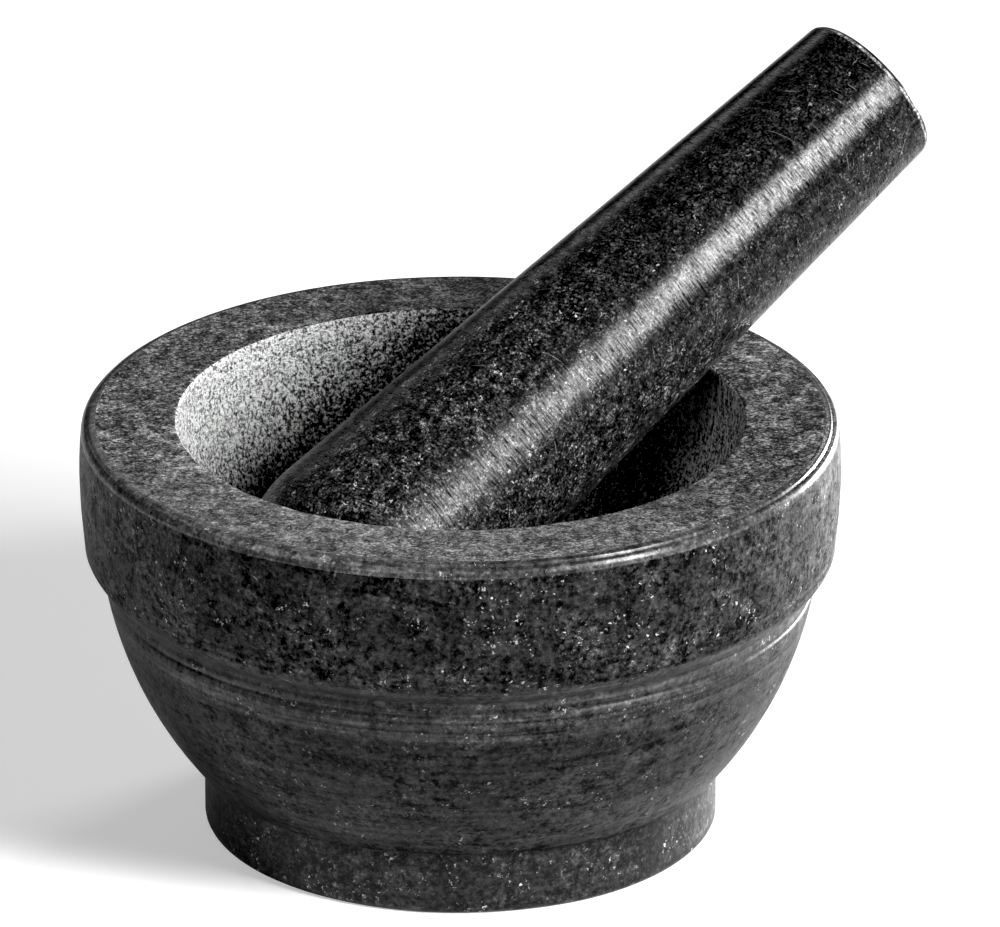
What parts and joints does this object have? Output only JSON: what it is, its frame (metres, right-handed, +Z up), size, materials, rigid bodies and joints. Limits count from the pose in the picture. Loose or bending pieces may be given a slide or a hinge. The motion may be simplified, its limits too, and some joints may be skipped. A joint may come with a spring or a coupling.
{
  "type": "mortar and pestle",
  "caption": "Turned stone mortar with a footed bowl, stepped collar and grooved rim, and a tapered ball-ended pestle that lies in it for grinding and crushing.",
  "frame": {"origin": "centre of the foot's flat underside, on the mortar's axis", "axes": "+Z up along the mortar's axis; the user stands on the -Y side; the pestle leans towards +X and +Y"},
  "size_m": [0.1563, 0.14, 0.1348],
  "materials": {
    "mortar_stone": "dark speckled stone, turned and honed outside, rough blasted inside the bowl",
    "pestle_stone": "dark speckled stone, turned and polished"
  },
  "bodies": {
    "mortar": {"mortar": "mortar_stone"},
    "pestle": {"pestle": "pestle_stone"}
  },
  "joints": [
    {"name": "pestle_lift", "type": "slide", "parent": "mortar", "child": "pestle", "axis": [0, 0, 1], "range_m": [0, 0.08]}
  ]
}
